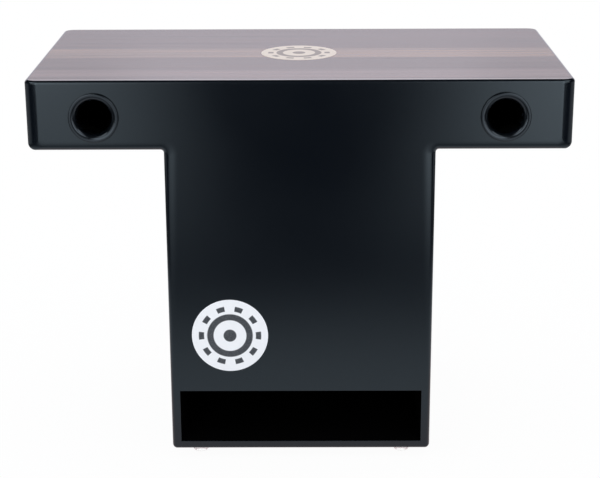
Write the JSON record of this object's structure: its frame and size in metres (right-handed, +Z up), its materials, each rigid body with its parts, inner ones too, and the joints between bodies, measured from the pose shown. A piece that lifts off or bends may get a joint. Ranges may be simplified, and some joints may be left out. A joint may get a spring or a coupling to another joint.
{
  "type": "lap cajon",
  "caption": "T-shaped lap box drum with a veneered playing surface, flared bass ports in the wings, a bass slot at the stem's foot, inner snares and clear bumper feet.",
  "frame": {"origin": "on the ground under the middle of the box, level with the bottoms of the feet", "axes": "+X along the wings to the right of someone facing the front, +Y from the front panel to the back panel, +Z up out of the playing surface"},
  "size_m": [0.5, 0.2655, 0.3739],
  "materials": {
    "walnut_veneer": "satin lacquered walnut veneer with lengthwise stripes, edge painted black",
    "black_lacquer": "satin black lacquer sprayed on board, routed edges",
    "black_plastic": "moulded black plastic, half gloss",
    "spruce": "planed softwood, unfinished",
    "snare_steel": "plain bright steel",
    "clear_bumper": "clear soft polyurethane dome"
  },
  "bodies": {
    "root": {"playing_surface": "walnut_veneer", "front_panel": "black_lacquer", "back_panel": "black_lacquer", "left_wing_end": "black_lacquer", "right_wing_end": "black_lacquer", "left_wing_floor": "black_lacquer", "right_wing_floor": "black_lacquer", "left_stem_side": "black_lacquer", "right_stem_side": "black_lacquer", "stem_floor": "black_lacquer", "left_port_tube": "black_plastic", "right_port_tube": "black_plastic", "front_rim_batten": "spruce", "back_rim_batten": "spruce", "left_rim_batten": "spruce", "right_rim_batten": "spruce", "left_joint_cleat": "spruce", "right_joint_cleat": "spruce", "left_snare_bar": "spruce", "right_snare_bar": "spruce", "left_snare_wires": "snare_steel", "right_snare_wires": "snare_steel", "left_front_snare_screw": "snare_steel", "left_back_snare_screw": "snare_steel", "right_front_snare_screw": "snare_steel", "right_back_snare_screw": "snare_steel", "front_left_foot": "clear_bumper", "front_right_foot": "clear_bumper", "back_left_foot": "clear_bumper", "back_right_foot": "clear_bumper"}
  },
  "joints": []
}
